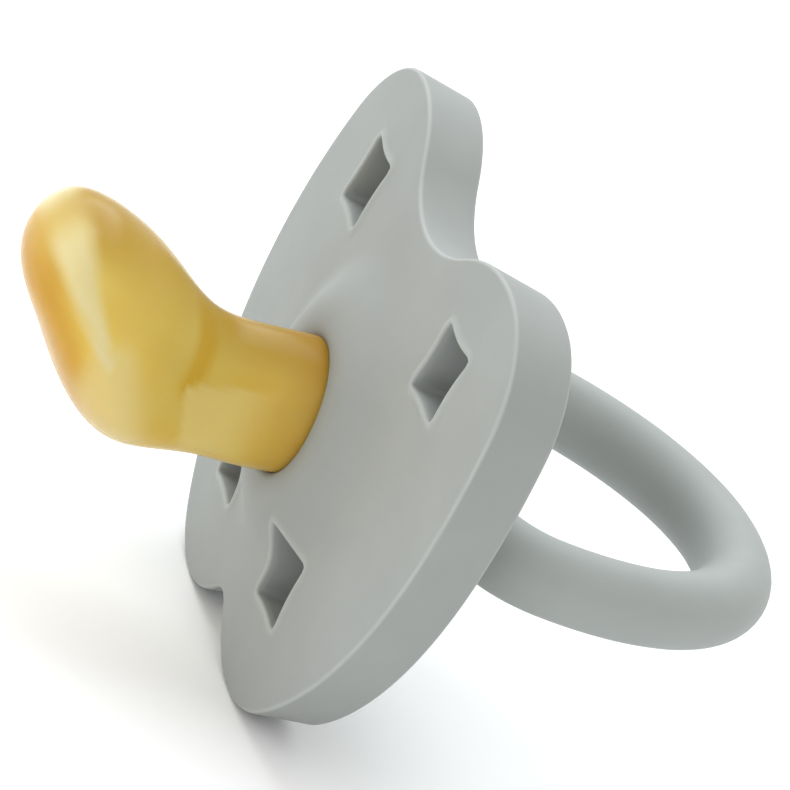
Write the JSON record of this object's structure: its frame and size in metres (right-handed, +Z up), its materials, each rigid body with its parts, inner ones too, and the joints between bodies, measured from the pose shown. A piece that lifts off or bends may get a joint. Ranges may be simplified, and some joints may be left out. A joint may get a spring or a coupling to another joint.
{
  "type": "pacifier",
  "caption": "Orthodontic rubber pacifier: butterfly shield with star vents, upturned hollow teat held by a plug, and a ring handle that swings in a knob.",
  "frame": {"origin": "middle of the flat back face of the knob, level with the ring's hinge", "axes": "+Y out of the knob's face, away from the mouth, along the ring at rest; the teat points along -Y; +Z up towards the nose notch; X across the shield, which is the same left and right"},
  "size_m": [0.0518, 0.0627, 0.0398],
  "materials": {
    "amber_rubber": "smooth translucent natural rubber, satin",
    "grey_rubber": "matte, very fine moulded grain",
    "plug_plastic": "matte moulded",
    "knob_plastic": "matte moulded",
    "ring_rubber": "matte, very fine moulded grain"
  },
  "bodies": {
    "pacifier_body": {"shield": "grey_rubber", "teat": "amber_rubber", "teat_plug": "plug_plastic", "knob_cap": "knob_plastic"},
    "ring": {"ring_handle": "ring_rubber"}
  },
  "joints": [
    {"name": "ring_hinge", "type": "hinge", "parent": "pacifier_body", "child": "ring", "pos_m": [0, -0.0052, 0], "axis": [1, 0, 0], "range_deg": [-80, 80]}
  ]
}
